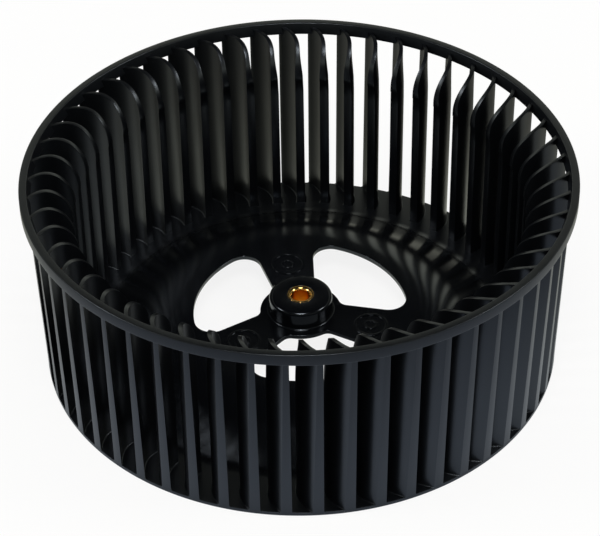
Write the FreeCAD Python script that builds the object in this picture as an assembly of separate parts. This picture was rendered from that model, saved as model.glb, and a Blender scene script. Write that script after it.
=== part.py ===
"""Centrifugal blower wheel with forward-curved blades: a one-piece moulding with a brass bush in its hub.

The wheel stands on its base flange with the inlet upwards. The origin is on the wheel's axis, in the plane of
the base flange's underside, and +Z is the axis. Sizes are in millimetres and angles in degrees.
"""

import FreeCAD
import Part

import math
import os

# Overall sizes
wheel_diameter = 150.0
wheel_height = 58.4
flange_setback = 3.5

# Outlet ring round the top of the blades
ring_height = 3.4
ring_wall = 2.1
ring_foot_wall = 3.1
ring_top_round = 0.6
ring_foot_round = 0.3

# Back plate: a flange under the blades, a cone, and a raised flat centre
flange_edge_round = 0.5
web_thickness = 1.3
centre_height = 10.4
cone_foot_gap = 4.2
cone_angle = 28.0
shoulder_radius = 27.0
cone_foot_radius = 8.0

# Hub boss on the centre
boss_height = 16.0
boss_top_diameter = 17.6
boss_base_diameter = 17.9
boss_top_round = 1.2
boss_base_blend = 0.7
collar_diameter = 13.0
collar_height = 6.5
collar_round = 0.6

# Brass bush in the hub
bush_diameter = 7.4
bush_bore_diameter = 5.0
bush_foot_height = 3.0
bush_top_recess = 0.0
bush_mouth_chamfer = 0.5
bush_foot_chamfer = 0.4

# Three openings in the centre, with a spoke between each two
opening_count = 3
opening_outer_diameter = 60.2
opening_inner_diameter = 22.8
spoke_width_at_hub = 11.6
spoke_width_at_rim = 17.3
spoke_angle = 99.8
opening_outer_corner = 5.0
opening_inner_corner = 2.6

# Plain ring mark on each spoke
mark_diameter = 9.6
mark_line = 0.8
mark_relief = 0.25
mark_circle_diameter = 41.4

# Blades
blade_count = 54
blade_depth = 10.3
blade_straight_length = 0.4
blade_first_angle = -95.94
blade_arc_radius = 12.95
blade_foot_thickness = 2.05
blade_top_thickness = 1.0
blade_inner_foot_thickness = 2.4
blade_inner_top_thickness = 2.3
blade_tip_setback = 1.85
blade_corner_drop = 11.0
blade_corner_radius = 9.7
blade_top_slope = 2.5
blade_parting_step = 0.15

# Lengths that only let one solid run into the next
overrun = 2.0
ring_bite = 0.6

# Sizes that follow from the ones above
flange_radius = wheel_diameter / 2 - flange_setback
blade_inner_radius = flange_radius - blade_depth
blade_tip_radius = wheel_diameter / 2 - blade_tip_setback
ring_foot_height = wheel_height - ring_height

AXIS = FreeCAD.Vector(0, 0, 1)
CENTRE = FreeCAD.Vector(0, 0, 0)


def point(radius, height):
    """A point of a section through the axis."""
    return FreeCAD.Vector(radius, 0, height)


def rounded_wire(corners):
    """A closed wire through corners (point, radius), each rounded with a tangent arc of its radius."""
    count = len(corners)
    edges = []
    starts = []
    ends = []
    for index, (corner, radius) in enumerate(corners):
        before = (corners[index - 1][0] - corner).normalize()
        after = (corners[(index + 1) % count][0] - corner).normalize()
        if radius == 0:
            starts.append(corner)
            ends.append(corner)
            continue
        half = before.getAngle(after) / 2
        reach = radius / math.tan(half)
        start = corner + before * reach
        end = corner + after * reach
        middle_line = (before + after).normalize()
        middle = corner + middle_line * (radius / math.sin(half) - radius)
        edges.append((index, Part.Arc(start, middle, end).toShape()))
        starts.append(start)
        ends.append(end)
    for index in range(count):
        start = ends[index]
        end = starts[(index + 1) % count]
        edges.append((index + 0.5, Part.LineSegment(start, end).toShape()))
    edges.sort(key=lambda item: item[0])
    return Part.Wire([edge for _, edge in edges])


def turned(corners):
    """A solid of revolution about the axis, from the rounded corners of its section."""
    return Part.Face(rounded_wire(corners)).revolve(CENTRE, AXIS, 360)


def copies(shape, count):
    """The shape and its copies, spaced evenly round the axis."""
    result = []
    for index in range(count):
        copy = shape.copy()
        copy.rotate(CENTRE, AXIS, index * 360.0 / count)
        result.append(copy)
    return result


def plate_and_boss():
    """The back plate and the hub boss, turned in one section, with the seat for the bush."""
    cone_slope = math.tan(math.radians(cone_angle))
    cone_foot = blade_inner_radius - cone_foot_gap
    cone_top = cone_foot - (centre_height - web_thickness) / cone_slope
    # The underside runs parallel to the top, one web thickness below it.
    shift = web_thickness * math.tan(math.radians(cone_angle / 2))
    centre_underside = centre_height - web_thickness
    flange = flange_radius
    seat = bush_diameter / 2
    return turned(
        [
            (point(seat, boss_height), 0),
            (point(boss_top_diameter / 2, boss_height), boss_top_round),
            (point(boss_base_diameter / 2, centre_height), boss_base_blend),
            (point(cone_top, centre_height), shoulder_radius),
            (point(cone_foot, web_thickness), cone_foot_radius),
            (point(flange, web_thickness), 0),
            (point(flange, 0), flange_edge_round),
            (point(cone_foot - shift, 0), cone_foot_radius + web_thickness),
            (point(cone_top - shift, centre_underside), shoulder_radius - web_thickness),
            (point(collar_diameter / 2, centre_underside), collar_round),
            (point(collar_diameter / 2, collar_height), collar_round),
            (point(seat, collar_height), 0),
        ]
    )


def spoke_edge_point(radius, width, side):
    """The point of a spoke's edge at a radius, where the spoke has the given width."""
    half_angle = math.asin(width / 2 / radius)
    angle = math.radians(spoke_angle) + side * half_angle
    return FreeCAD.Vector(radius * math.cos(angle), radius * math.sin(angle), 0)


def opening():
    """The prism that cuts one opening between two spokes."""
    outer = opening_outer_diameter / 2
    inner = opening_inner_diameter / 2
    pitch = 360.0 / opening_count
    outer_start = spoke_edge_point(outer, spoke_width_at_rim, 1)
    inner_start = spoke_edge_point(inner, spoke_width_at_hub, 1)
    outer_end = spoke_edge_point(outer, spoke_width_at_rim, -1)
    inner_end = spoke_edge_point(inner, spoke_width_at_hub, -1)
    turn = FreeCAD.Rotation(AXIS, pitch)
    outer_end = turn.multVec(outer_end)
    inner_end = turn.multVec(inner_end)
    middle = math.radians(spoke_angle + pitch / 2)
    direction = FreeCAD.Vector(math.cos(middle), math.sin(middle), 0)
    wire = Part.Wire(
        [
            Part.Arc(outer_start, direction * outer, outer_end).toShape(),
            Part.LineSegment(outer_end, inner_end).toShape(),
            Part.Arc(inner_end, direction * inner, inner_start).toShape(),
            Part.LineSegment(inner_start, outer_start).toShape(),
        ]
    )
    face = Part.Face(wire)
    face.translate(FreeCAD.Vector(0, 0, centre_height - web_thickness - overrun))
    prism = face.extrude(FreeCAD.Vector(0, 0, web_thickness + 2 * overrun))
    upright = [edge for edge in prism.Edges if is_upright(edge)]
    far = [edge for edge in upright if distance_from_axis(edge) > (outer + inner) / 2]
    near = [edge for edge in upright if distance_from_axis(edge) < (outer + inner) / 2]
    prism = prism.makeFillet(opening_outer_corner, far)
    return prism.makeFillet(opening_inner_corner, [match(prism, edge) for edge in near])


def is_upright(edge):
    """Whether an edge is a straight line along the axis."""
    first = edge.Vertexes[0].Point
    last = edge.Vertexes[-1].Point
    return abs(first.z - last.z) > web_thickness and abs(first.x - last.x) + abs(first.y - last.y) < 1e-6


def distance_from_axis(edge):
    """The distance of an upright edge from the axis."""
    return math.hypot(edge.Vertexes[0].X, edge.Vertexes[0].Y)


def match(shape, edge):
    """The edge of a shape that has the same centre as the given edge."""
    return min(shape.Edges, key=lambda item: (item.CenterOfMass - edge.CenterOfMass).Length)


def spoke_mark():
    """The low moulded ring on the first spoke."""
    sunk = mark_relief
    outer = Part.makeCylinder(mark_diameter / 2, mark_relief + sunk)
    inner = Part.makeCylinder(mark_diameter / 2 - mark_line, mark_relief + sunk)
    mark = outer.cut(inner)
    angle = math.radians(spoke_angle)
    reach = mark_circle_diameter / 2
    mark.translate(FreeCAD.Vector(reach * math.cos(angle), reach * math.sin(angle), centre_height - sunk))
    return mark


def outlet_ring():
    """The ring that joins the tops of the blades."""
    outer = wheel_diameter / 2
    inner = outer - ring_wall
    foot = ring_foot_height
    return turned(
        [
            (point(outer - ring_foot_wall, foot), ring_foot_round),
            (point(outer, foot), ring_foot_round),
            (point(outer, wheel_height), ring_top_round),
            (point(inner, wheel_height), ring_top_round),
        ]
    )


def blade_section(height, thickness, inner_thickness, tip_radius):
    """The blade's section at a height: straight along a radius, then an arc that leans forwards to the tip.

    The section runs past the blade's inner and outer edges, which the blade space trims.
    """
    arc_start = tip_radius - blade_depth + blade_straight_length
    inner = blade_inner_radius - overrun
    centre = FreeCAD.Vector(arc_start, blade_arc_radius, height)
    sweep = math.radians(80)

    def on_arc(radius, angle):
        return centre + FreeCAD.Vector(radius * math.sin(angle), -radius * math.cos(angle), 0)

    hollow = blade_arc_radius
    crown = blade_arc_radius + thickness
    hollow_start = on_arc(hollow, 0)
    crown_start = on_arc(crown, 0)
    inner_hollow = FreeCAD.Vector(inner, 0, height)
    inner_crown = FreeCAD.Vector(inner, -inner_thickness, height)
    edge_crown = FreeCAD.Vector(blade_inner_radius, -inner_thickness, height)
    return Part.Wire(
        [
            Part.LineSegment(inner_hollow, hollow_start).toShape(),
            Part.Arc(hollow_start, on_arc(hollow, sweep / 2), on_arc(hollow, sweep)).toShape(),
            Part.LineSegment(on_arc(hollow, sweep), on_arc(crown, sweep)).toShape(),
            Part.Arc(on_arc(crown, sweep), on_arc(crown, sweep / 2), crown_start).toShape(),
            Part.LineSegment(crown_start, edge_crown).toShape(),
            Part.LineSegment(edge_crown, inner_crown).toShape(),
            Part.LineSegment(inner_crown, inner_hollow).toShape(),
        ]
    )


def blade_space():
    """The turned space that the blades fill: a drafted outside, an upright inside and a rounded top corner."""
    foot = web_thickness
    inner = blade_inner_radius
    ring_foot = ring_foot_height
    ring_inner = wheel_diameter / 2 - ring_wall
    tip_at_ring = blade_tip_radius
    bite = max(ring_inner, tip_at_ring) + ring_bite
    corner_height = wheel_height - blade_corner_drop
    slope = math.radians(blade_top_slope)
    arc_centre = FreeCAD.Vector(inner + blade_corner_radius, 0, corner_height)

    def on_corner(angle):
        reach = blade_corner_radius
        return arc_centre + FreeCAD.Vector(-reach * math.cos(angle), 0, reach * math.sin(angle))

    arc_end_angle = math.pi / 2 - slope
    corner_start = on_corner(0)
    corner_end = on_corner(arc_end_angle)
    top = corner_end.z + (bite - corner_end.x) * math.tan(slope)
    below_step = point(inner + blade_parting_step, corner_height)
    inner_foot = point(inner + blade_parting_step, foot)
    wire = Part.Wire(
        [
            Part.LineSegment(inner_foot, below_step).toShape(),
            Part.LineSegment(below_step, corner_start).toShape(),
            Part.Arc(corner_start, on_corner(arc_end_angle / 2), corner_end).toShape(),
            Part.LineSegment(corner_end, point(bite, top)).toShape(),
            Part.LineSegment(point(bite, top), point(bite, ring_foot)).toShape(),
            Part.LineSegment(point(bite, ring_foot), point(tip_at_ring, ring_foot)).toShape(),
            Part.LineSegment(point(tip_at_ring, ring_foot), point(flange_radius, foot)).toShape(),
            Part.LineSegment(point(flange_radius, foot), inner_foot).toShape(),
        ]
    )
    return Part.Face(wire).revolve(CENTRE, AXIS, 360)


def blade():
    """One blade at the angle of the first."""
    foot = web_thickness
    draft = (blade_tip_radius - flange_radius) / (ring_foot_height - foot)
    tip_top = flange_radius + draft * (wheel_height - foot)
    low = blade_section(foot, blade_foot_thickness, blade_inner_foot_thickness, flange_radius)
    high = blade_section(wheel_height, blade_top_thickness, blade_inner_top_thickness, tip_top)
    slab = Part.makeLoft([low, high], True, True)
    trimmed = slab.common(blade_space()).Solids[0]
    trimmed.rotate(CENTRE, AXIS, blade_first_angle)
    return trimmed


def fan_wheel():
    """The whole moulding: plate, boss, openings, spoke marks, blades and outlet ring as one solid."""
    plate = plate_and_boss()
    plate = plate.cut(copies(opening(), opening_count))
    blades = copies(blade(), blade_count)
    marks = copies(spoke_mark(), opening_count)
    wheel = plate.multiFuse(blades + marks + [outlet_ring()])
    return wheel.removeSplitter()


def hub_bush():
    """The turned brass bush that carries the wheel on its shaft."""
    top = boss_height - bush_top_recess
    outer = bush_diameter / 2
    bore = bush_bore_diameter / 2
    body = turned(
        [
            (point(bore, bush_foot_height), 0),
            (point(outer, bush_foot_height), 0),
            (point(outer, top), 0),
            (point(bore, top), 0),
        ]
    )
    mouths = [edge for edge in body.Edges if is_circle(edge, bore, top)]
    feet = [edge for edge in body.Edges if is_circle(edge, bore, bush_foot_height)]
    feet += [edge for edge in body.Edges if is_circle(edge, outer, bush_foot_height)]
    body = body.makeChamfer(bush_mouth_chamfer, mouths)
    return body.makeChamfer(bush_foot_chamfer, [match(body, edge) for edge in feet])


def is_circle(edge, radius, height):
    """Whether an edge is a circle of this radius round the axis at this height."""
    curve = edge.Curve
    if not isinstance(curve, Part.Circle):
        return False
    return abs(curve.Radius - radius) < 1e-6 and abs(curve.Center.z - height) < 1e-6


def main():
    """Write one STEP file for each piece."""
    os.makedirs("parts", exist_ok=True)
    pieces = {"fan_wheel": fan_wheel(), "hub_bush": hub_bush()}
    for name, shape in pieces.items():
        shape.exportStep(os.path.join("parts", name + ".step"))
        solids = len(shape.Solids)
        box = shape.BoundBox
        print(name, "solids", solids, "valid", shape.isValid(), "volume", round(shape.Volume, 1),
              "faces", len(shape.Faces), "z", round(box.ZMin, 3), round(box.ZMax, 3),
              "x", round(box.XMin, 3), round(box.XMax, 3))


main()
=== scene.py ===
"""A black moulded centrifugal fan wheel with a brass bush, on a plain pale floor.

The wheel is one injection moulding: a back plate with three openings and a hub boss, a row of forward-curved
blades, and an outlet ring. Sizes in the classes are in millimetres and degrees. Meshes are in metres.
"""

import logging
import math
from dataclasses import dataclass, field
from enum import Enum
from typing import Any, Iterable, Sequence

import bmesh
import bpy
from mathutils import Matrix, Vector
from mathutils.geometry import delaunay_2d_cdt

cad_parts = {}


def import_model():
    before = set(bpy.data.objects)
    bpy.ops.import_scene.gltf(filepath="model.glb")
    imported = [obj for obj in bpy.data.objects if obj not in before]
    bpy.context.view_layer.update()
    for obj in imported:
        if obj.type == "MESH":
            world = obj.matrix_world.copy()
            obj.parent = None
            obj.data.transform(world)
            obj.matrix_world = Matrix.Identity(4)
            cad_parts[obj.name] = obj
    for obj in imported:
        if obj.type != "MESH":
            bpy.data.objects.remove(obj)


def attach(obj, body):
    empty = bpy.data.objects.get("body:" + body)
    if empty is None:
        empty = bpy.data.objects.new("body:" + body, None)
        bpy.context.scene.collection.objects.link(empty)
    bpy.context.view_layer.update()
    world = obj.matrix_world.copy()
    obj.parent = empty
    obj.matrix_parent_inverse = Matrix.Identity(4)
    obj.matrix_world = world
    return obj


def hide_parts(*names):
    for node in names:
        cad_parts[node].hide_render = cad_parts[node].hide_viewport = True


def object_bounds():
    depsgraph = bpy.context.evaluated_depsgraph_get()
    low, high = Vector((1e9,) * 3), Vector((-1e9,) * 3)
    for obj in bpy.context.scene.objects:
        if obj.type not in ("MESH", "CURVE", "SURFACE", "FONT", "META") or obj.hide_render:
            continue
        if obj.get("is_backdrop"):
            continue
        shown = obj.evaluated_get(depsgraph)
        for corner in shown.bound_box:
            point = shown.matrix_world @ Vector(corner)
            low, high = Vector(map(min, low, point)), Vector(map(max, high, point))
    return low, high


LOG = logging.getLogger("fan_wheel_scene")
MM = 0.001
ROOT_BODY = "root"
FLAT_TOLERANCE = 1e-7
NO_LENGTH = 1e-8

Point2 = tuple[float, float]
Point3 = tuple[float, float, float]
Tree = bpy.types.NodeTree
Socket = bpy.types.NodeSocket


class Slot(Enum):
    """The record's material slots."""

    PLASTIC = "black_plastic"
    BRASS = "brass"


class CadNode(Enum):
    """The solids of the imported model."""

    WHEEL = "fan_wheel"
    BUSH = "hub_bush"


class LampRole(Enum):
    """What each lamp is there for."""

    KEY = "key_softbox"
    LEFT = "left_softbox"
    RIGHT = "right_softbox"
    OVERHEAD = "overhead_lamp"


def linear_colour(hex_code: str) -> tuple[float, float, float, float]:
    """Turn an sRGB hex value into a linear colour.

    Args:
        hex_code: Six hex digits after a hash.

    Returns:
        Linear red, green, blue and an alpha of one.
    """
    channels = []
    for start in (1, 3, 5):
        value = int(hex_code[start : start + 2], 16) / 255.0
        channels.append(value / 12.92 if value <= 0.04045 else ((value + 0.055) / 1.055) ** 2.4)
    return (channels[0], channels[1], channels[2], 1.0)


def add_node(tree: Tree, kind: str, inputs: dict[str | int, Any] | None = None, **settings: Any) -> bpy.types.Node:
    """Add a node to a tree.

    Args:
        tree: The tree that gets the node.
        kind: The node's type name.
        inputs: The constant or the socket for each input, by its name or number.
        **settings: Attributes of the node itself.

    Returns:
        The new node.
    """
    node = tree.nodes.new(kind)
    for name, value in settings.items():
        setattr(node, name, value)
    for key, given in (inputs or {}).items():
        if isinstance(given, Socket):
            tree.links.new(given, node.inputs[key])
        else:
            node.inputs[key].default_value = given
    return node


def add_maths(tree: Tree, operation: str, *inputs: Any) -> Socket:
    """Add a calculation.

    Args:
        tree: The tree that gets the node.
        operation: What it does.
        *inputs: The constants or sockets that it works on, in order.

    Returns:
        The result's socket.
    """
    node = add_node(tree, "ShaderNodeMath", dict(enumerate(inputs)), operation=operation)
    return node.outputs["Value"]


def add_step(tree: Tree, value: Socket, between: Point2, levels: Point2 = (0.0, 1.0), soft: bool = True) -> Socket:
    """Add a step from one level to another.

    Args:
        tree: The tree that gets the node.
        value: What the step follows.
        between: Where it starts and ends.
        levels: Its value before and after.
        soft: Whether its ends are rounded off.

    Returns:
        The step's socket.
    """
    inputs = {
        "Value": value,
        "From Min": between[0],
        "From Max": between[1],
        "To Min": levels[0],
        "To Max": levels[1],
    }
    shape = "SMOOTHSTEP" if soft else "LINEAR"
    return add_node(tree, "ShaderNodeMapRange", inputs, interpolation_type=shape).outputs["Result"]


def add_noise(tree: Tree, coords: Socket, pitch: float, detail: float, roughness: float = 0.5) -> Socket:
    """Add a soft random pattern.

    Args:
        tree: The tree that gets the node.
        coords: The coordinates that it follows.
        pitch: The size of its patches, in millimetres.
        detail: How many finer layers it has.
        roughness: How strong they are.

    Returns:
        The pattern's socket.
    """
    inputs = {"Vector": coords, "Scale": 1.0 / (pitch * MM), "Detail": detail, "Roughness": roughness}
    return add_node(tree, "ShaderNodeTexNoise", inputs).outputs["Fac"]


def add_colours(tree: Tree, share: Socket, first: str, second: str) -> Socket:
    """Add a mix of two colours.

    Args:
        tree: The tree that gets the node.
        share: How much of the second colour shows.
        first: The first colour.
        second: The second colour.

    Returns:
        The mixed colour's socket.
    """
    inputs = {0: share, 6: linear_colour(first), 7: linear_colour(second)}
    return add_node(tree, "ShaderNodeMix", inputs, data_type="RGBA").outputs[2]


def add_numbers(tree: Tree, share: Socket, first: Any, second: Any) -> Socket:
    """Add a mix of two numbers.

    Args:
        tree: The tree that gets the node.
        share: How much of the second number shows.
        first: The first number or its socket.
        second: The second number or its socket.

    Returns:
        The mixed number's socket.
    """
    return add_node(tree, "ShaderNodeMix", {0: share, 2: first, 3: second}, data_type="FLOAT").outputs[0]


def add_axis_distance(tree: Tree, coords: Socket) -> Socket:
    """Add the distance from the wheel's axis.

    Args:
        tree: The tree that gets the nodes.
        coords: The coordinates.

    Returns:
        The distance's socket, in metres.
    """
    flat = add_node(tree, "ShaderNodeVectorMath", {0: coords, 1: (1.0, 1.0, 0.0)}, operation="MULTIPLY")
    return add_node(tree, "ShaderNodeVectorMath", {0: flat.outputs["Vector"]}, operation="LENGTH").outputs["Value"]


def add_ray_test(tree: Tree, *kinds: str) -> Socket:
    """Add the test for some kinds of ray.

    Args:
        tree: The tree that gets the nodes.
        *kinds: Their names.

    Returns:
        A socket that is one for such a ray and zero for the others.
    """
    path = add_node(tree, "ShaderNodeLightPath")
    tests = [path.outputs[f"Is {kind} Ray"] for kind in kinds]
    result = tests[0]
    for test in tests[1:]:
        result = add_maths(tree, "MAXIMUM", result, test)
    return result


def new_material(name: str) -> tuple[bpy.types.Material, Tree, Socket]:
    """Make an empty node material.

    Args:
        name: The material's name.

    Returns:
        The material, its node tree and the socket of the object's own coordinates.
    """
    material = bpy.data.materials.new(name)
    material.use_nodes = True
    tree = material.node_tree
    tree.nodes.clear()
    return material, tree, add_node(tree, "ShaderNodeTexCoord").outputs["Object"]


@dataclass(frozen=True)
class MouldedAbs:
    """Black glossy ABS straight from a polished mould.

    It is near black with a cool cast. The gloss is a little uneven, since the melt leaves faint flow lines along
    the draw of the mould, and the skin has a very slight ripple that softens reflections.
    """

    name: str = "moulded_black_abs"
    colour: str = "#050608"
    colour_worn: str = "#08090b"
    gloss_tint: str = "#eaf4ff"
    gloss_level: float = 0.48
    roughness_core: float = 0.16
    roughness: Point2 = (0.28, 0.36)
    unevenness: Point2 = (0.7, 1.3)
    core_limit: Point2 = (54.0, 58.0)
    ior: float = 1.54
    flow_line_pitch: float = 1.6
    flow_line_draw: float = 0.04
    flow_line_share: float = 0.6
    ripple_pitch: float = 2.5
    ripple_height: float = 0.006
    mottle_pitch: float = 14.0

    def build(self) -> bpy.types.Material:
        """Build the material.

        Returns:
            The finished material.
        """
        material, tree, coords = new_material(self.name)
        # Flow lines run up the blades and the boss, so the pattern is drawn out along Z.
        drawn = add_node(tree, "ShaderNodeMapping", {"Vector": coords, "Scale": (1.0, 1.0, self.flow_line_draw)})
        flow = add_noise(tree, drawn.outputs["Vector"], self.flow_line_pitch, 3.0, 0.55)
        mottle = add_noise(tree, coords, self.mottle_pitch, 4.0, 0.6)
        both = add_maths(tree, "ADD", flow, mottle)
        blades = add_step(tree, both, self.unevenness, self.roughness, soft=False)
        # The mould's core is polished finer than its blade slots, so the boss and the plate are glossier.
        limit = (self.core_limit[0] * MM, self.core_limit[1] * MM)
        away = add_step(tree, add_axis_distance(tree, coords), limit, soft=False)
        ripple = add_noise(tree, coords, self.ripple_pitch, 2.0)
        relief = add_maths(tree, "MULTIPLY_ADD", flow, self.flow_line_share, ripple)
        height = {"Strength": 0.5, "Distance": self.ripple_height * MM, "Height": relief}
        shader = add_node(
            tree,
            "ShaderNodeBsdfPrincipled",
            {
                "Base Color": add_colours(tree, mottle, self.colour, self.colour_worn),
                "Roughness": add_numbers(tree, away, self.roughness_core, blades),
                "Normal": add_node(tree, "ShaderNodeBump", height).outputs["Normal"],
                "IOR": self.ior,
                "Metallic": 0.0,
                "Specular IOR Level": self.gloss_level,
                "Specular Tint": linear_colour(self.gloss_tint),
            },
        )
        add_node(tree, "ShaderNodeOutputMaterial", {"Surface": shader.outputs["BSDF"]})
        return material


@dataclass(frozen=True)
class TurnedBrass:
    """Free-cutting brass turned on a lathe.

    It is a warm yellow metal with fine rings from the tool on its faces, which spread highlights round the axis.
    """

    name: str = "turned_brass"
    colour: str = "#f2cb82"
    colour_dark: str = "#d9a558"
    roughness: Point2 = (0.13, 0.22)
    tarnish_pitch: float = 3.0
    ring_pitch: float = 0.35
    ring_height: float = 0.01

    def build(self) -> bpy.types.Material:
        """Build the material.

        Returns:
            The finished material.
        """
        material, tree, coords = new_material(self.name)
        tarnish = add_noise(tree, coords, self.tarnish_pitch, 4.0)
        scale = 1.0 / (self.ring_pitch * MM * 2.0 * math.pi)
        turns = {"Vector": coords, "Scale": scale, "Distortion": 0.6, "Detail": 2.0}
        kinds = {"wave_type": "RINGS", "rings_direction": "Z", "wave_profile": "SIN"}
        rings = add_node(tree, "ShaderNodeTexWave", turns, **kinds)
        height = {"Strength": 0.15, "Distance": self.ring_height * MM, "Height": rings.outputs["Fac"]}
        shader = add_node(
            tree,
            "ShaderNodeBsdfPrincipled",
            {
                "Base Color": add_colours(tree, tarnish, self.colour, self.colour_dark),
                "Roughness": add_step(tree, tarnish, (0.0, 1.0), self.roughness, soft=False),
                "Normal": add_node(tree, "ShaderNodeBump", height).outputs["Normal"],
                "Metallic": 1.0,
            },
        )
        add_node(tree, "ShaderNodeOutputMaterial", {"Surface": shader.outputs["BSDF"]})
        return material


@dataclass(frozen=True)
class PaleTable:
    """A matt white table top, overexposed to the eye as in a catalogue picture.

    Reflections see a painted glow, not its lit colour: painted shade under the front of the wheel, painted light
    brightest at its foot and dimmer farther off and behind it, a painted cool tint in front and warm behind.
    Distances are in metres here.
    """

    name: str = "matt_white_table"
    colour: str = "#f7f6f3"
    colour_shade: str = "#f1f0ec"
    cloud_pitch: float = 120.0
    seen_white: float = 0.86
    painted_glow_share: float = 0.92
    cool: str = "#dfeafb"
    warm: str = "#f4f5de"
    painted_tint_shift: Point2 = (-0.1, 0.1)
    reach: float = 0.4
    levels: tuple[Point2, ...] = ((0.085, 0.86), (0.15, 0.38), (0.4, 0.18))
    wheel_edge: Point2 = (0.06, 0.078)
    under_middle: Point2 = (-0.012, 0.004)
    painted_shade_levels: Point2 = (0.18, 0.9)
    painted_dimming: Point2 = (0.05, 0.09)
    painted_level_behind: float = 0.4

    def build(self) -> bpy.types.Material:
        """Build the material.

        Returns:
            The finished material.
        """
        material, tree, coords = new_material(self.name)
        cloud = add_noise(tree, coords, self.cloud_pitch, 2.0)
        colour = add_colours(tree, cloud, self.colour, self.colour_shade)
        look = {"Base Color": colour, "Roughness": 0.9, "Specular IOR Level": 0.2}
        matt = add_node(tree, "ShaderNodeBsdfPrincipled", look)
        white = add_node(tree, "ShaderNodeEmission", {"Color": linear_colour("#ffffff"), "Strength": 1.0})
        seen = add_ray_test(tree, "Camera", "Transmission")
        to_eye = self.mixed(tree, seen, self.seen_white, matt, white)
        # Reflections see mostly the painted glow below, not the table's lit colour.
        glossy = add_ray_test(tree, "Glossy")
        surface = self.mixed(tree, glossy, self.painted_glow_share, to_eye, self.mirrored(tree, coords))
        add_node(tree, "ShaderNodeOutputMaterial", {"Surface": surface.outputs[0]})
        return material

    def mixed(
        self, tree: Tree, test: Socket, share: float, first: bpy.types.Node, second: bpy.types.Node
    ) -> bpy.types.Node:
        """Mix a share of the second shader into the first for the rays that pass a test.

        Args:
            tree: The material's tree.
            test: One for the rays that pass.
            share: How much of the second shader they see.
            first: The shader that all other rays see.
            second: The other shader.

        Returns:
            The mixed shader.
        """
        scaled = add_maths(tree, "MULTIPLY", test, share)
        return add_node(tree, "ShaderNodeMixShader", {0: scaled, 1: first.outputs[0], 2: second.outputs[0]})

    def mirrored(self, tree: Tree, coords: Socket) -> bpy.types.Node:
        """The painted glow that reflections show of the table: painted light and shade by distance from the axis
        and front to back.

        Args:
            tree: The material's tree.
            coords: The table's own coordinates.

        Returns:
            The emission shader.
        """
        distance = add_axis_distance(tree, coords)
        backwards = add_node(tree, "ShaderNodeSeparateXYZ", {"Vector": coords}).outputs["Y"]
        # Painted pool of light: brightest at the wheel's foot, fading farther off.
        share = add_step(tree, distance, (0.0, self.reach), soft=False)
        level = add_node(tree, "ShaderNodeValToRGB", {"Fac": share})
        ramp = level.color_ramp
        ramp.interpolation = "EASE"
        while len(ramp.elements) < len(self.levels):
            ramp.elements.new(0.5)
        for stop, (radius, value) in zip(ramp.elements, self.levels):
            stop.position = radius / self.reach
            stop.color = (value, value, value, 1.0)
        # Painted dimming of the glow behind the wheel.
        dimmed = add_step(tree, backwards, self.painted_dimming, (1.0, self.painted_level_behind))
        outside = add_maths(tree, "MULTIPLY", level.outputs["Color"], dimmed)
        # Painted shade under the front of the wheel, brighter under its back.
        under = add_step(tree, backwards, self.under_middle, self.painted_shade_levels)
        strength = add_numbers(tree, add_step(tree, distance, self.wheel_edge), under, outside)
        # Painted cool tint in front of the wheel and warm tint behind it.
        hue = add_colours(tree, add_step(tree, backwards, self.painted_tint_shift), self.cool, self.warm)
        return add_node(tree, "ShaderNodeEmission", {"Color": hue, "Strength": strength})


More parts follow.
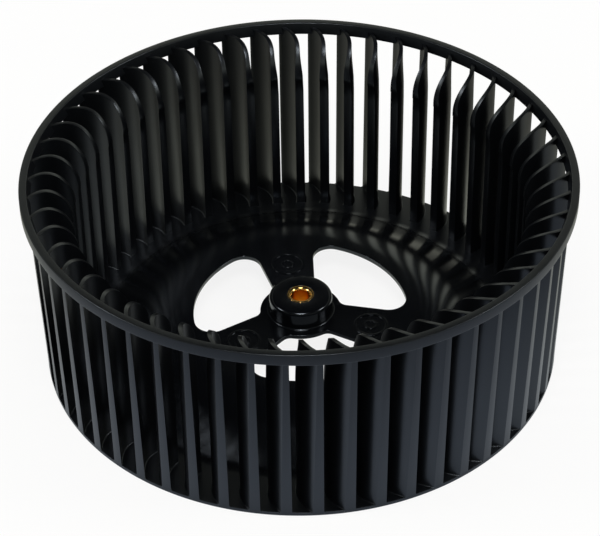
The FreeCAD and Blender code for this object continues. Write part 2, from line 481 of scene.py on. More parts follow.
@dataclass
class Surface:
    """Vertices in millimetres and faces that are gathered into one mesh."""

    vertices: list[Point3] = field(default_factory=list)
    faces: list[tuple[int, ...]] = field(default_factory=list)

    def add_row_strip(self, rows: Sequence[Sequence[Point3]]) -> None:
        """Join closed rows of points with quads.

        Args:
            rows: Rows with the same number of points.
        """
        start = len(self.vertices)
        width = len(rows[0])
        for row in rows:
            self.vertices.extend(row)
        for i in range(len(rows) - 1):
            for j in range(width):
                a = start + i * width + j
                b = start + i * width + (j + 1) % width
                self.faces.append((a, b, b + width, a + width))

    def add_ring(self, corners: Sequence[Point3], step: float, count: int, reach: float = 0.0) -> None:
        """Turn a closed section with rounded corners about an upright axis.

        Args:
            corners: Radius, height and rounding of each corner.
            step: The largest turn between two points of a rounding, in degrees.
            count: The number of points round the axis.
            reach: How far along X that axis stands.
        """
        section = rounded_section(corners, step)
        rows = turn_section(section + [section[0]], count)
        self.add_row_strip([[(x + reach, y, z) for x, y, z in row] for row in rows])

    def add_flat_web(self, loops: Sequence[Sequence[Point2]], height: float, upwards: bool) -> None:
        """Fill the flat area between an outer loop, an inner loop and the loops of holes.

        Args:
            loops: The outer loop, then the inner loop, then each hole's loop.
            height: The height of the flat.
            upwards: Whether the faces look up.
        """
        points: list[Vector] = []
        edges: list[tuple[int, int]] = []
        for loop in loops:
            start = len(points)
            points.extend(Vector(p) for p in loop)
            edges.extend((start + i, start + (i + 1) % len(loop)) for i in range(len(loop)))
        result = delaunay_2d_cdt(points, edges, [], 0, FLAT_TOLERANCE)
        start = len(self.vertices)
        self.vertices.extend((p.x, p.y, height) for p in result[0])
        for face in result[2]:
            corners = [result[0][i] for i in face]
            centre = (sum(p.x for p in corners) / 3.0, sum(p.y for p in corners) / 3.0)
            if not inside(centre, loops[0]) or any(inside(centre, hole) for hole in loops[1:]):
                continue
            area = (corners[1] - corners[0]).cross(corners[2] - corners[0])
            order = tuple(start + i for i in face)
            self.faces.append(order if (area > 0) == upwards else tuple(reversed(order)))

    def to_mesh(self, name: str, merge: float = 1e-4, sharp: float = 50.0) -> bpy.types.Mesh:
        """Make the mesh, with its doubles merged and its normals looking outwards.

        Args:
            name: The mesh's name.
            merge: Points nearer than this, in millimetres, become one.
            sharp: Edges over this angle, in degrees, stay crisp.

        Returns:
            The mesh, in metres.
        """
        mesh = bpy.data.meshes.new(name)
        scaled = [(x * MM, y * MM, z * MM) for x, y, z in self.vertices]
        mesh.from_pydata(scaled, [], self.faces)
        work = bmesh.new()
        work.from_mesh(mesh)
        bmesh.ops.remove_doubles(work, verts=work.verts, dist=merge * MM)
        bmesh.ops.dissolve_degenerate(work, edges=work.edges, dist=NO_LENGTH)
        bmesh.ops.recalc_face_normals(work, faces=work.faces)
        work.to_mesh(mesh)
        work.free()
        mesh.shade_smooth()
        mesh.set_sharp_from_angle(angle=math.radians(sharp))
        return mesh


def inside(point: Point2, loop: Sequence[Point2]) -> bool:
    """Whether a point is inside a closed loop.

    Args:
        point: The point.
        loop: The loop's corners.

    Returns:
        True if it is inside.
    """
    x, y = point
    result = False
    for (x1, y1), (x2, y2) in zip(loop, list(loop[1:]) + [loop[0]]):
        if (y1 > y) != (y2 > y) and x < (x2 - x1) * (y - y1) / (y2 - y1) + x1:
            result = not result
    return result


def rounded_section(corners: Sequence[Point3], step: float = 9.0) -> list[Point2]:
    """Round each corner of a section with an arc tangent to both its sides.

    Args:
        corners: Radius, height and rounding of each corner. A corner with no rounding stays as it is.
        step: The largest turn between two points of an arc, in degrees.

    Returns:
        The section's points, in order.
    """
    points: list[Point2] = []
    count = len(corners)
    for index, (r, z, radius) in enumerate(corners):
        corner = Vector((r, z))
        if radius <= 0.0:
            points.append((r, z))
            continue
        before = (Vector(corners[index - 1][:2]) - corner).normalized()
        after = (Vector(corners[(index + 1) % count][:2]) - corner).normalized()
        half = before.angle(after) / 2.0
        reach = radius / math.tan(half)
        start = corner + before * reach
        centre = corner + (before + after).normalized() * (radius / math.sin(half))
        turn = math.pi - 2.0 * half
        first = start - centre
        sign = 1.0 if before.x * after.y - before.y * after.x < 0.0 else -1.0
        pieces = max(2, math.ceil(math.degrees(turn) / step))
        for k in range(pieces + 1):
            angle = sign * turn * k / pieces
            cosine, sine = math.cos(angle), math.sin(angle)
            x = centre.x + first.x * cosine - first.y * sine
            y = centre.y + first.x * sine + first.y * cosine
            points.append((x, y))
    return points


def circle_points(radius: float, count: int) -> list[Point2]:
    """Points round a circle about the axis, the first on +X."""
    angles = (2.0 * math.pi * i / count for i in range(count))
    return [(radius * math.cos(angle), radius * math.sin(angle)) for angle in angles]


def turn_section(section: Sequence[Point2], count: int) -> list[list[Point3]]:
    """Turn a section about the axis into rows of points.

    Args:
        section: Radius and height of each point.
        count: The number of points round the axis.

    Returns:
        One row of points for each point of the section.
    """
    return [[(x, y, z) for x, y in circle_points(r, count)] for r, z in section]


def place(name: str, mesh: bpy.types.Mesh, material: bpy.types.Material) -> bpy.types.Object:
    """Put a mesh in the scene at the origin, with its material.

    Args:
        name: The object's name.
        mesh: Its mesh, already in place.
        material: Its finish.

    Returns:
        The object.
    """
    piece = bpy.data.objects.new(name, mesh)
    bpy.context.scene.collection.objects.link(piece)
    mesh.materials.clear()
    mesh.materials.append(material)
    return piece


def bake_modifiers(piece: bpy.types.Object) -> None:
    """Replace a piece's mesh by what its modifiers make, and remove them.

    Args:
        piece: The object.
    """
    bpy.context.view_layer.update()
    graph = bpy.context.evaluated_depsgraph_get()
    made = bpy.data.meshes.new_from_object(piece.evaluated_get(graph), depsgraph=graph)
    made.name = piece.name
    piece.modifiers.clear()
    piece.data = made


@dataclass(frozen=True)
class AxisPattern:
    """Copies of a piece, evenly spaced round the wheel's axis."""

    name: str
    count: int
    first_angle: float

    def tree(self) -> Tree:
        """Build the node tree: points, one copy of the piece turned on each, made real and given its material.

        Returns:
            The geometry node tree.
        """
        tree = bpy.data.node_groups.new(f"{self.name}_round_axis", "GeometryNodeTree")
        kinds = {"Piece": "Geometry", "Count": "Int", "First Angle": "Float", "Finish": "Material"}
        for name, kind in kinds.items():
            tree.interface.new_socket(name, in_out="INPUT", socket_type=f"NodeSocket{kind}")
        tree.interface.new_socket("Copies", in_out="OUTPUT", socket_type="NodeSocketGeometry")
        given = add_node(tree, "NodeGroupInput").outputs
        points = add_node(tree, "GeometryNodePoints", {"Count": given["Count"]})
        index = add_node(tree, "GeometryNodeInputIndex").outputs["Index"]
        pitch = add_maths(tree, "DIVIDE", 2.0 * math.pi, given["Count"])
        angle = add_maths(tree, "MULTIPLY_ADD", index, pitch, given["First Angle"])
        euler = add_node(tree, "ShaderNodeCombineXYZ", {"Z": angle})
        turn = add_node(tree, "FunctionNodeEulerToRotation", {"Euler": euler.outputs["Vector"]})
        sources = {
            "Points": points.outputs["Points"],
            "Instance": given["Piece"],
            "Rotation": turn.outputs["Rotation"],
        }
        copies = add_node(tree, "GeometryNodeInstanceOnPoints", sources)
        real = add_node(tree, "GeometryNodeRealizeInstances", {"Geometry": copies.outputs["Instances"]})
        dressing = {"Geometry": real.outputs["Geometry"], "Material": given["Finish"]}
        dressed = add_node(tree, "GeometryNodeSetMaterial", dressing)
        add_node(tree, "NodeGroupOutput", {"Copies": dressed.outputs["Geometry"]})
        return tree

    def apply(self, piece: bpy.types.Object, material: bpy.types.Material) -> None:
        """Add the pattern to a piece and make it a plain mesh.

        Args:
            piece: The object that is copied.
            material: The finish of every copy.
        """
        modifier = piece.modifiers.new(self.name, "NODES")
        modifier.node_group = self.tree()
        inputs = {"Count": self.count, "First Angle": math.radians(self.first_angle), "Finish": material}
        for item in modifier.node_group.interface.items_tree:
            if item.item_type == "SOCKET" and item.in_out == "INPUT" and item.name in inputs:
                modifier[item.identifier] = inputs[item.name]
        bake_modifiers(piece)


@dataclass
class BackPlate:
    """The back plate with its flange, cone, flat centre, three openings and hub boss."""

    web: float = 1.3
    flange_radius: float = 71.5
    flange_round: float = 0.5
    flange_top_round: float = 0.12
    centre_height: float = 10.4
    cone_foot_radius: float = 57.0
    cone_angle: float = 28.0
    shoulder_round: float = 27.0
    foot_round: float = 8.0
    boss_height: float = 16.0
    boss_top_radius: float = 8.8
    boss_base_radius: float = 8.95
    boss_top_round: float = 1.2
    boss_base_round: float = 0.7
    collar_radius: float = 6.5
    collar_height: float = 6.5
    collar_round: float = 0.6
    seat_radius: float = 3.7
    seat_round: float = 0.25
    opening_count: int = 3
    opening_outer: float = 30.1
    opening_inner: float = 11.4
    spoke_width_hub: float = 11.6
    spoke_width_rim: float = 17.3
    spoke_angle: float = 99.8
    corner_outer: float = 5.0
    corner_inner: float = 2.6
    edge_round: float = 0.16
    edge_steps: int = 5
    corner_steps: tuple[int, int] = (12, 10)
    arc_steps: tuple[int, int] = (40, 16)
    points_round: int = 288

    def build(self, material: bpy.types.Material) -> bpy.types.Object:
        """Build the plate.

        Args:
            material: The plastic.

        Returns:
            The plate's object.
        """
        surface = Surface()
        flat_inner, flat_outer = self.flat_limits()
        for section in (self.boss_section(flat_inner), self.outer_section(flat_outer)):
            surface.add_row_strip(turn_section(section, self.points_round))
        tops = [self.opening_loop(k, self.edge_round) for k in range(self.opening_count)]
        outer = circle_points(flat_outer, self.points_round)
        inner = circle_points(flat_inner, self.points_round)
        surface.add_flat_web([outer, inner, *tops], self.centre_height, upwards=True)
        collar = circle_points(self.collar_radius + self.collar_round, self.points_round)
        surface.add_flat_web([outer, collar, *tops], self.under(), upwards=False)
        for k in range(self.opening_count):
            surface.add_row_strip(self.opening_wall(k))
        mesh = surface.to_mesh("back_plate", merge=2e-4)
        piece = place("back_plate", mesh, material)
        weight = piece.modifiers.new("weighted_normals", "WEIGHTED_NORMAL")
        weight.mode = "FACE_AREA"
        weight.keep_sharp = True
        bake_modifiers(piece)
        return piece

    def under(self) -> float:
        """The height of the flat centre's underside."""
        return self.centre_height - self.web

    def cone_top(self) -> float:
        """The radius where the cone's and the flat's lines meet."""
        return self.cone_foot_radius - self.under() / math.tan(math.radians(self.cone_angle))

    def flat_limits(self) -> Point2:
        """The radii between which the centre is flat.

        Returns:
            The inner and the outer radius.
        """
        side = math.atan2(self.boss_height - self.centre_height, self.boss_base_radius - self.boss_top_radius)
        inner = self.boss_base_radius + self.boss_base_round / math.tan((math.pi - side) / 2.0)
        return inner, self.cone_top() - self.shoulder_round * math.tan(math.radians(self.cone_angle / 2.0))

    def boss_section(self, flat_inner: float) -> list[Point2]:
        """The section of the boss and its collar, from the flat's top round to the flat's underside.

        Args:
            flat_inner: The radius where the flat starts.

        Returns:
            The section's points.
        """
        under = self.under()
        corners = [
            (flat_inner, self.centre_height, 0.0),
            (self.boss_base_radius, self.centre_height, self.boss_base_round),
            (self.boss_top_radius, self.boss_height, self.boss_top_round),
            (self.seat_radius, self.boss_height, self.seat_round),
            (self.seat_radius, self.collar_height, 0.0),
            (self.collar_radius, self.collar_height, self.collar_round),
            (self.collar_radius, under, self.collar_round),
            (self.collar_radius + self.collar_round, under, 0.0),
        ]
        return rounded_section(corners)

    def outer_section(self, flat_outer: float) -> list[Point2]:
        """The section of the shoulder, cone and flange, from the flat's top round to the flat's underside.

        Args:
            flat_outer: The radius where the flat ends.

        Returns:
            The section's points.
        """
        shift = self.web * math.tan(math.radians(self.cone_angle / 2.0))
        cone_top, under = self.cone_top(), self.under()
        corners = [
            (flat_outer, self.centre_height, 0.0),
            (cone_top, self.centre_height, self.shoulder_round),
            (self.cone_foot_radius, self.web, self.foot_round),
            (self.flange_radius, self.web, self.flange_top_round),
            (self.flange_radius, 0.0, self.flange_round),
            (self.cone_foot_radius - shift, 0.0, self.foot_round + self.web),
            (cone_top - shift, under, self.shoulder_round - self.web),
            (flat_outer, under, 0.0),
        ]
        return rounded_section(corners, step=4.0)

    def opening_loop(self, number: int, grow: float) -> list[Point2]:
        """The outline of one opening, made larger all round.

        Args:
            number: Which opening.
            grow: How far the outline moves outwards.

        Returns:
            The outline's points, always as many.
        """
        pitch = 2.0 * math.pi / self.opening_count
        base = math.radians(self.spoke_angle)
        outer, inner = self.opening_outer + grow, self.opening_inner - grow
        round_outer, round_inner = self.corner_outer + grow, self.corner_inner + grow

        def on_spoke(radius: float, width: float) -> Vector:
            half = math.asin(width / 2.0 / radius)
            return Vector((radius * math.cos(half), radius * math.sin(half)))

        low = on_spoke(self.opening_inner, self.spoke_width_hub)
        high = on_spoke(self.opening_outer, self.spoke_width_rim)
        along = (high - low).normalized()
        into = Vector((-along.y, along.x))
        edge_point = low - into * grow

        def fillet_centre(distance: float, radius: float) -> Vector:
            start = edge_point + into * radius
            half_b = start.dot(along)
            reach = -half_b + math.sqrt(half_b * half_b - start.dot(start) + distance * distance)
            return start + along * reach

        far = fillet_centre(outer - round_outer, round_outer)
        near = fillet_centre(inner + round_inner, round_inner)

        def arc(centre: Vector, radius: float, start: float, end: float, count: int) -> list[Vector]:
            steps = [start + (end - start) * i / count for i in range(count + 1)]
            return [centre + Vector((math.cos(a), math.sin(a))) * radius for a in steps]

        side = math.atan2(-into.y, -into.x)
        far_angle = math.atan2(far.y, far.x)
        near_angle = math.atan2(near.y, near.x)
        half_loop = arc(near, round_inner, near_angle + math.pi, side + 2.0 * math.pi, self.corner_steps[1])
        half_loop += arc(far, round_outer, side, far_angle, self.corner_steps[0])
        mirrored = [self.mirror(p, pitch) for p in reversed(half_loop)]
        axis = Vector((0.0, 0.0))
        outer_arc = arc(axis, outer, far_angle, pitch - far_angle, self.arc_steps[0])[1:-1]
        inner_arc = arc(axis, inner, pitch - near_angle, near_angle, self.arc_steps[1])[1:-1]
        loop = half_loop + outer_arc + mirrored + inner_arc
        turn = base + number * pitch
        cosine, sine = math.cos(turn), math.sin(turn)
        return [(p.x * cosine - p.y * sine, p.x * sine + p.y * cosine) for p in loop]

    @staticmethod
    def mirror(point: Vector, pitch: float) -> Vector:
        """Mirror a point about the opening's own middle line, which is half a pitch from the spoke."""
        angle = pitch - math.atan2(point.y, point.x)
        return Vector((math.cos(angle), math.sin(angle))) * point.length

    def opening_wall(self, number: int) -> list[list[Point3]]:
        """The wall of an opening, with both its edges rounded.

        Args:
            number: Which opening.

        Returns:
            Rows of points from the top to the underside.
        """
        path: list[Point2] = []
        for k in range(self.edge_steps + 1):
            angle = math.pi / 2.0 * k / self.edge_steps
            drop = self.edge_round * (1.0 - math.cos(angle))
            path.append((self.edge_round * (1.0 - math.sin(angle)), self.centre_height - drop))
        path += [(grow, self.under() + self.centre_height - z) for grow, z in reversed(path)]
        return [[(x, y, z) for x, y in self.opening_loop(number, grow)] for grow, z in path]


@dataclass
class OutletRing:
    """The ring round the top of the blades, with a drafted inside."""

    outer_radius: float = 75.0
    top: float = 58.4
    foot: float = 55.0
    wall_top: float = 2.1
    wall_foot: float = 3.1
    top_round: float = 0.3
    foot_round: float = 0.3
    round_step: float = 12.0
    points_round: int = 360

    def build(self, material: bpy.types.Material) -> bpy.types.Object:
        """Build the ring.

        Args:
            material: The plastic.

        Returns:
            The ring's object.
        """
        corners = [
            (self.outer_radius - self.wall_foot, self.foot, self.foot_round),
            (self.outer_radius, self.foot, self.foot_round),
            (self.outer_radius, self.top, self.top_round),
            (self.outer_radius - self.wall_top, self.top, self.top_round),
        ]
        surface = Surface()
        surface.add_ring(corners, self.round_step, self.points_round)
        return place("outlet_ring", surface.to_mesh("outlet_ring"), material)


@dataclass
class BladeRow:
    """The row of forward-curved blades.

    Each blade starts along a radius at its inner edge and then curves forwards to its tip. It gets thinner upwards
    and towards its tip, the tip leans outwards, and its inner top corner is a large round.
    """

    count: int = 54
    first_angle: float = -95.94
    inner_radius: float = 61.2
    tip_foot_radius: float = 71.5
    tip_ring_radius: float = 73.15
    foot: float = 1.3
    sunk: float = 0.3
    arc_radius: float = 12.95
    arc_depth: float = 9.9
    tip_foot_thickness: float = 2.05
    tip_top_thickness: float = 1.0
    inner_foot_thickness: float = 2.4
    inner_top_thickness: float = 2.3
    full_height: float = 58.4
    taper_start: float = 43.0
    taper_end: float = 55.0
    taper_share: float = 0.5
    corner_height: float = 47.4
    corner_radius: float = 9.7
    top_slope: float = 2.5
    ring_radius: float = 72.5
    parting_step: float = 0.15
    parting_height: float = 46.0
    parting_ramp: float = 0.15
    foot_fillet: float = 0.4
    ring_foot: float = 55.0
    camber: float = 0.6
    inner_edge_round: float = 0.2
    tip_edge_round: float = 0.16
    edge_segments: int = 3
    sharp_angle: float = 55.0
    widest_turn: float = 85.0
    halvings: int = 40
    fillet_rows: tuple[float, ...] = (0.12, 0.3, 0.6, 1.0)
    side_rows: int = 9
    corner_rows: int = 16
    columns: tuple[float, ...] = (
        0.0, 0.035, 0.075, 0.12, 0.17, 0.23, 0.3, 0.37, 0.44, 0.51, 0.58, 0.65, 0.72, 0.79, 0.86, 0.93, 1.0,
    )

    def tip_radius(self, z: float) -> float:
        """The radius of the blade's tip at a height."""
        lean = (self.tip_ring_radius - self.tip_foot_radius) / (self.ring_foot - self.foot)
        return self.tip_foot_radius + lean * (z - self.foot)

    def inner_edge(self, z: float) -> float:
        """The radius of the blade's inner edge at a height.

        Args:
            z: The height.

        Returns:
            The radius, with the parting step and the round top corner.
        """
        if z < self.parting_height - self.parting_ramp / 2.0:
            return self.inner_radius + self.parting_step
        rise = z - self.corner_height
        slope = math.radians(self.top_slope)
        centre = self.inner_radius + self.corner_radius
        if rise <= self.corner_radius * math.cos(slope):
            return centre - math.sqrt(max(self.corner_radius**2 - max(rise, 0.0) ** 2, 0.0))
        over = rise - self.corner_radius * math.cos(slope)
        return centre - self.corner_radius * math.sin(slope) + over / math.tan(slope)

    def thickness(self, z: float, foot_value: float, top_value: float) -> float:
        """A thickness at a height, from its values at the foot and at the wheel's top."""
        share = (z - self.foot) / (self.full_height - self.foot)
        return foot_value + (top_value - foot_value) * share

    def hollow_point(self, radius: float, z: float) -> Point2:
        """The point of the hollow face at a radius and a height, with the blade's base line along +X."""
        start = self.tip_radius(z) - self.arc_depth
        return self.point_at_radius(radius, start, 0.0, self.arc_radius)

    def crown_point(self, radius: float, z: float) -> Point2:
        """The point of the rounded back face at a radius and a height, with the blade's base line along +X."""
        start = self.tip_radius(z) - self.arc_depth
        tip = self.thickness(z, self.tip_foot_thickness, self.tip_top_thickness)
        inner = self.thickness(z, self.inner_foot_thickness, self.inner_top_thickness)
        inner *= 1.0 - (1.0 - self.taper_share) * self.taper(z)
        here = inner + (tip - inner) * self.share_outwards(radius, z)
        return self.point_at_radius(radius, start, -here, self.arc_radius + here)

    def taper(self, z: float) -> float:
        """How far the inner edge has thinned towards the round top corner, softly from zero to one."""
        share = min(max((z - self.taper_start) / (self.taper_end - self.taper_start), 0.0), 1.0)
        return share * share * (3.0 - 2.0 * share)

    def share_outwards(self, radius: float, z: float) -> float:
        """How far a radius is from the inner edge towards the tip, from zero to one."""
        return (radius - self.inner_radius) / (self.tip_radius(z) - self.inner_radius)

    def bulge(self, radius: float, z: float) -> float:
        """How far the blade's middle stands back from the plain arc, so that its inner edge leans a little."""
        share = self.share_outwards(radius, z)
        return self.camber * 4.0 * share * (1.0 - share)

    def point_at_radius(self, radius: float, start: float, side: float, arc: float) -> Point2:
        """Find the point of a blade face at a given distance from the axis.

        Args:
            radius: The distance from the axis.
            start: Where along the base line the arc starts.
            side: The face's offset from the base line there.
            arc: The face's arc radius.

        Returns:
            The point.
        """
        if radius * radius <= start * start + side * side:
            return math.sqrt(radius * radius - side * side), side
        low, high = 0.0, math.radians(self.widest_turn)
        for _ in range(self.halvings):
            angle = (low + high) / 2.0
            x = start + arc * math.sin(angle)
            y = side + arc * (1.0 - math.cos(angle))
            low, high = (angle, high) if x * x + y * y < radius * radius else (low, angle)
        return x, y

    def heights(self) -> list[float]:
        """The heights of the blade's rows, close together where its shape turns."""
        foot = self.foot
        rows = [foot - self.sunk, foot]
        rows += [foot + self.foot_fillet * share for share in self.fillet_rows]
        start = foot + self.foot_fillet
        rows += [start + (self.parting_height - start) * k / self.side_rows for k in range(1, self.side_rows)]
        rows += [self.parting_height - self.parting_ramp, self.parting_height, self.corner_height]
        slope = math.radians(self.top_slope)
        for k in range(1, self.corner_rows + 1):
            angle = (math.pi / 2.0 - slope) * k / self.corner_rows
            rows.append(self.corner_height + self.corner_radius * math.sin(angle))
        last = self.corner_radius * math.cos(slope)
        reach = self.ring_radius - (self.inner_radius + self.corner_radius - self.corner_radius * math.sin(slope))
        rows.append(self.corner_height + last + reach * math.tan(slope))
        return rows

    def flare(self, z: float) -> float:
        """How far both faces stand off near the foot, as a moulded fillet does."""
        rest = self.foot_fillet - min(max(z - self.foot, 0.0), self.foot_fillet)
        return self.foot_fillet - math.sqrt(self.foot_fillet**2 - rest**2)

    def grid(self) -> tuple[list[list[Point3]], list[list[Point3]]]:
        """The rows of points of the hollow face and of the rounded back face."""
        hollow: list[list[Point3]] = []
        crown: list[list[Point3]] = []
        for z in self.heights():
            inner, outer = self.inner_edge(z), self.tip_radius(z)
            hollow_row: list[Point3] = []
            crown_row: list[Point3] = []
            for share in self.columns:
                radius = inner + (outer - inner) * share
                hx, hy = self.hollow_point(radius, z)
                cx, cy = self.crown_point(radius, z)
                across = Vector((hx - cx, hy - cy)).normalized() * self.flare(z)
                back = self.bulge(radius, z)
                hollow_row.append((hx + across.x, hy + across.y - back, z))
                crown_row.append((cx - across.x, cy - across.y - back, z))
            hollow.append(hollow_row)
            crown.append(crown_row)
        return hollow, crown

    def blade_mesh(self) -> bpy.types.Mesh:
        """Build one blade as a closed mesh, with the edges that get rounded marked.

        Returns:
            The mesh.
        """
        hollow, crown = self.grid()
        width = len(self.columns)
        last = width - 1
        count = len(hollow)
        points = [p for row in hollow for p in row] + [p for row in crown for p in row]
        shift = width * count
        faces: list[tuple[int, ...]] = []
        for i in range(count - 1):
            for j in range(last):
                a = i * width + j
                faces.append((a, a + width, a + width + 1, a + 1))
                b = shift + a
                faces.append((b, b + 1, b + width + 1, b + width))
            inner, outer = i * width, i * width + last
            faces.append((inner, shift + inner, shift + inner + width, inner + width))
            faces.append((outer, outer + width, shift + outer + width, shift + outer))
        top = (count - 1) * width
        for j in range(last):
            faces.append((j, j + 1, shift + j + 1, shift + j))
            faces.append((top + j, shift + top + j, shift + top + j + 1, top + j + 1))
        mesh = bpy.data.meshes.new("blade")
        mesh.from_pydata([(x * MM, y * MM, z * MM) for x, y, z in points], [], faces)
        self.mark_edges(mesh, width, count, shift)
        work = bmesh.new()
        work.from_mesh(mesh)
        bmesh.ops.recalc_face_normals(work, faces=work.faces)
        work.to_mesh(mesh)
        work.free()
        mesh.shade_smooth()
        return mesh

    def mark_edges(self, mesh: bpy.types.Mesh, width: int, count: int, shift: int) -> None:
        """Give the inner edges and the tip edges their share of the rounding.

        Args:
            mesh: The blade.
            width: Points in a row.
            count: The number of rows.
            shift: The number of the first point of the back face.
        """
        weights = mesh.attributes.new("bevel_weight_edge", "FLOAT", "EDGE")
        share = self.tip_edge_round / self.inner_edge_round
        wanted: dict[tuple[int, int], float] = {}
        for base in (0, shift):
            for i in range(2, count - 1):
                a = base + i * width
                wanted[(a, a + width)] = 1.0
                b = a + width - 1
                wanted[(b, b + width)] = share
        for edge in mesh.edges:
            key = tuple(sorted(edge.vertices))
            if key in wanted:
                weights.data[edge.index].value = wanted[key]

    def build(self, material: bpy.types.Material) -> bpy.types.Object:
        """Build the whole row.

        Args:
            material: The plastic.

        Returns:
            The row's object.
        """
        piece = place("blade_row", self.blade_mesh(), material)
        bevel = piece.modifiers.new("rounded_edges", "BEVEL")
        bevel.limit_method = "WEIGHT"
        bevel.width = self.inner_edge_round * MM
        bevel.segments = self.edge_segments
        bevel.use_clamp_overlap = True
        bake_modifiers(piece)
        piece.data.set_sharp_from_angle(angle=math.radians(self.sharp_angle))
        AxisPattern("blades", self.count, self.first_angle).apply(piece, material)
        return piece


@dataclass
class SpokeMarks:
    """The low moulded ring on each spoke, with a small ring in its centre."""

    count: int = 3
    angle: float = 99.8
    reach: float = 20.7
    radius: float = 4.8
    line: float = 0.8
    relief: float = 0.25
    small_radius: float = 1.95
    small_line: float = 0.6
    edge_round: float = 0.12
    round_step: float = 20.0
    points_round: tuple[int, int] = (64, 40)
    base: float = 10.4
    sunk: float = 0.2

    def build(self, material: bpy.types.Material) -> bpy.types.Object:
        """Build the marks.

        Args:
            material: The plastic.

        Returns:
            The object with all the marks.
        """
        low, high = self.base - self.sunk, self.base + self.relief
        surface = Surface()
        sizes = ((self.radius, self.line), (self.small_radius, self.small_line))
        for (radius, line), count in zip(sizes, self.points_round):
            corners = [
                (radius - line, low, 0.0),
                (radius - line, high, self.edge_round),
                (radius, high, self.edge_round),
                (radius, low, 0.0),
            ]
            surface.add_ring(corners, self.round_step, count, self.reach)
        piece = place("spoke_marks", surface.to_mesh("spoke_marks"), material)
        AxisPattern("marks", self.count, self.angle).apply(piece, material)
        return piece


@dataclass
class FanWheel:
    """The whole moulding, as the pieces that take the place of its solid."""

    plate: BackPlate = field(default_factory=BackPlate)
    ring: OutletRing = field(default_factory=OutletRing)
    blades: BladeRow = field(default_factory=BladeRow)
    marks: SpokeMarks = field(default_factory=SpokeMarks)

    def build(self, finish: MouldedAbs) -> None:
        """Build and attach every piece of the moulding.

        Args:
            finish: The plastic.
        """
        material = finish.build()
        for part in (self.plate, self.ring, self.blades, self.marks):
            piece = part.build(material)
            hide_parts(CadNode.WHEEL.value)
            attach(piece, ROOT_BODY)
            LOG.info("%s: %d faces", piece.name, len(piece.data.polygons))


@dataclass
class HubBush:
    """The brass bush in the hub, with rounded mouths."""

    outer_radius: float = 3.7
    bore_radius: float = 2.5
    foot: float = 3.0
    top: float = 16.0
    mouth: float = 0.5
    foot_chamfer: float = 0.4
    mouth_round: float = 0.6
    edge_round: float = 0.12
    round_step: float = 15.0
    points_round: int = 96

    def build(self, finish: TurnedBrass) -> None:
        """Build the bush and attach it.

        Args:
            finish: The brass.
        """
        corners = [
            (self.bore_radius, self.foot + self.foot_chamfer, self.edge_round),
            (self.bore_radius + self.foot_chamfer, self.foot, self.edge_round),
            (self.outer_radius - self.foot_chamfer, self.foot, self.edge_round),
            (self.outer_radius, self.foot + self.foot_chamfer, self.edge_round),
            (self.outer_radius, self.top, self.edge_round),
            (self.bore_radius + self.mouth, self.top, self.mouth_round),
            (self.bore_radius, self.top - self.mouth, self.mouth_round),
        ]
        surface = Surface()
        surface.add_ring(corners, self.round_step, self.points_round)
        piece = place("bush", surface.to_mesh("bush"), finish.build())
        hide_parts(CadNode.BUSH.value)
        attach(piece, ROOT_BODY)
        LOG.info("%s: %d faces", piece.name, len(piece.data.polygons))


@dataclass
class Lamp:
    """One rectangular softbox, aimed at the wheel."""

    role: LampRole
    place: Point3
    width: float
    height: float
    power: float
    colour: str = "#ffffff"

    def build(self, target: Vector) -> None:
        """Build the lamp.

        Args:
            target: The point it is aimed at.
        """
        data = bpy.data.lights.new(self.role.value, "AREA")
        data.shape = "RECTANGLE"
        data.size = self.width
        data.size_y = self.height
        data.energy = self.power
        data.color = linear_colour(self.colour)[:3]
        lamp = bpy.data.objects.new(self.role.value, data)
        bpy.context.scene.collection.objects.link(lamp)
        spot = Vector(self.place)
        aim = (target - spot).to_track_quat("-Z", "Y").to_matrix().to_4x4()
        lamp.matrix_world = Matrix.Translation(spot) @ aim
        LOG.info("lamp %s", self.role.value)


@dataclass
class Camera:
    """The camera at the photograph's viewing angle."""

    focal_pixels: float = 2364.06
    frame_pixels: float = 600.0
    sensor: float = 36.0
    elevation: float = math.degrees(0.6795)
    roll: float = 0.0138
    distance: float = 654.3
    clip: Point2 = (0.05, 20.0)
    target: Point3 = (-0.075, 0.0, 25.3)

    def build(self) -> None:
        """Build the camera and make it the scene's."""
        data = bpy.data.cameras.new("camera")
        data.sensor_width = self.sensor
        data.lens = self.focal_pixels / self.frame_pixels * self.sensor
        data.clip_start, data.clip_end = self.clip
        lift = math.radians(self.elevation)
        back = Vector((0.0, -math.cos(lift), math.sin(lift)))
        right = Vector((1.0, 0.0, 0.0))
        up = back.cross(right)
        turned_right = right * math.cos(self.roll) - up * math.sin(self.roll)
        turned_up = up * math.cos(self.roll) + right * math.sin(self.roll)
        axes = Matrix((turned_right, turned_up, back)).transposed().to_4x4()
        spot = (Vector(self.target) + back * self.distance) * MM
        camera = bpy.data.objects.new("camera", data)
        bpy.context.scene.collection.objects.link(camera)
        camera.matrix_world = Matrix.Translation(spot) @ axes
        bpy.context.scene.camera = camera


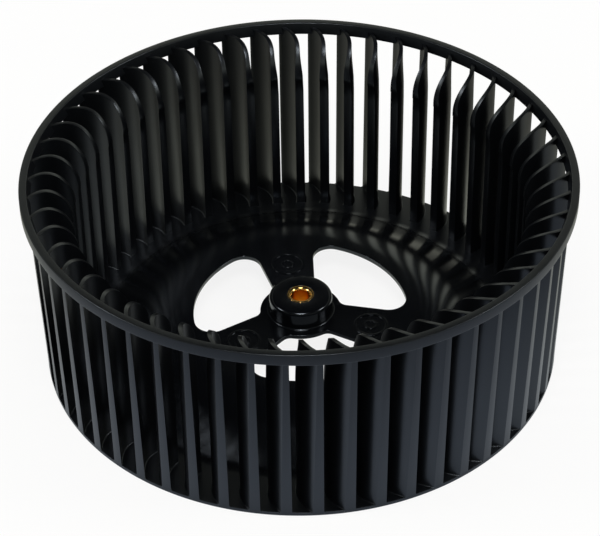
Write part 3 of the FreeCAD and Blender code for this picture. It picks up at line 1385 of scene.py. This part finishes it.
@dataclass
class Studio:
    """The floor, the white backdrop that rises behind it into a dark room, and the lamps."""

    floor_size: float = 6.0
    aim: Point3 = (0.0, 0.0, 0.02)
    ambient: float = 0.56
    backdrop_foot: Point2 = (10.0, 20.0)
    backdrop_top: Point2 = (31.0, 36.5)
    backdrop: str = "#f3f5e5"
    room_shade: str = "#0c0d10"
    lamps: tuple[Lamp, ...] = (
        Lamp(LampRole.KEY, (0.0, -0.87, 1.35), 0.1, 0.1, 2.4),
        Lamp(LampRole.LEFT, (-1.15, -0.12, 0.85), 0.4, 0.4, 4.5),
        Lamp(LampRole.RIGHT, (1.15, -0.12, 0.85), 0.4, 0.4, 4.5),
        Lamp(LampRole.OVERHEAD, (0.0, -0.62, 1.36), 0.5, 0.3, 5.5),
    )

    def build(self, finish: PaleTable) -> None:
        """Build the floor, the world and the lamps.

        Args:
            finish: The table top.
        """
        half = self.floor_size / 2.0
        corners = [(-half, -half, 0.0), (half, -half, 0.0), (half, half, 0.0), (-half, half, 0.0)]
        mesh = bpy.data.meshes.new("table_top")
        mesh.from_pydata(corners, [], [(0, 1, 2, 3)])
        floor = place("table_top", mesh, finish.build())
        floor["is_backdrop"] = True
        self.build_world()
        for lamp in self.lamps:
            lamp.build(Vector(self.aim))

    def build_world(self) -> None:
        """Make the backdrop white to the eye and in reflections, the room over it dark, and both a soft light."""
        world = bpy.data.worlds.new("white_backdrop")
        bpy.context.scene.world = world
        world.use_nodes = True
        tree = world.node_tree
        tree.nodes.clear()
        coords = add_node(tree, "ShaderNodeTexCoord").outputs["Generated"]
        height = add_node(tree, "ShaderNodeSeparateXYZ", {"Vector": coords}).outputs["Z"]
        band = add_maths(
            tree,
            "SUBTRACT",
            self.height_step(tree, height, self.backdrop_foot),
            self.height_step(tree, height, self.backdrop_top),
        )
        white = linear_colour("#ffffff")
        mirrored = add_colours(tree, band, self.room_shade, self.backdrop)
        colours = {0: add_ray_test(tree, "Camera"), 6: mirrored, 7: white}
        shown = add_node(tree, "ShaderNodeMix", colours, data_type="RGBA").outputs[2]
        light = add_node(tree, "ShaderNodeBackground", {"Color": white, "Strength": self.ambient})
        backdrop = add_node(tree, "ShaderNodeBackground", {"Color": shown, "Strength": 1.0})
        direct = add_ray_test(tree, "Camera", "Glossy", "Transmission")
        shaders = {0: direct, 1: light.outputs["Background"], 2: backdrop.outputs["Background"]}
        either = add_node(tree, "ShaderNodeMixShader", shaders)
        add_node(tree, "ShaderNodeOutputWorld", {"Surface": either.outputs["Shader"]})

    def height_step(self, tree: Tree, height: Socket, between: Point2) -> Socket:
        """Add a soft step from zero to one between two elevations above the horizon.

        Args:
            tree: The world's tree.
            height: The sine of the elevation.
            between: Where the step starts and ends, in degrees.

        Returns:
            The step's socket.
        """
        low, high = (math.sin(math.radians(angle)) for angle in between)
        return add_step(tree, height, (low, high))


def main() -> None:
    """Build the wheel, the bush, the studio and the camera."""
    logging.basicConfig(level=logging.INFO, format="%(message)s")
    bpy.context.scene.view_settings.view_transform = "Standard"
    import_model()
    cad_box = [corner.copy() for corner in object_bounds()]
    FanWheel().build(MouldedAbs())
    HubBush().build(TurnedBrass())
    Studio().build(PaleTable())
    Camera().build()


if __name__ == "__main__":
    main()
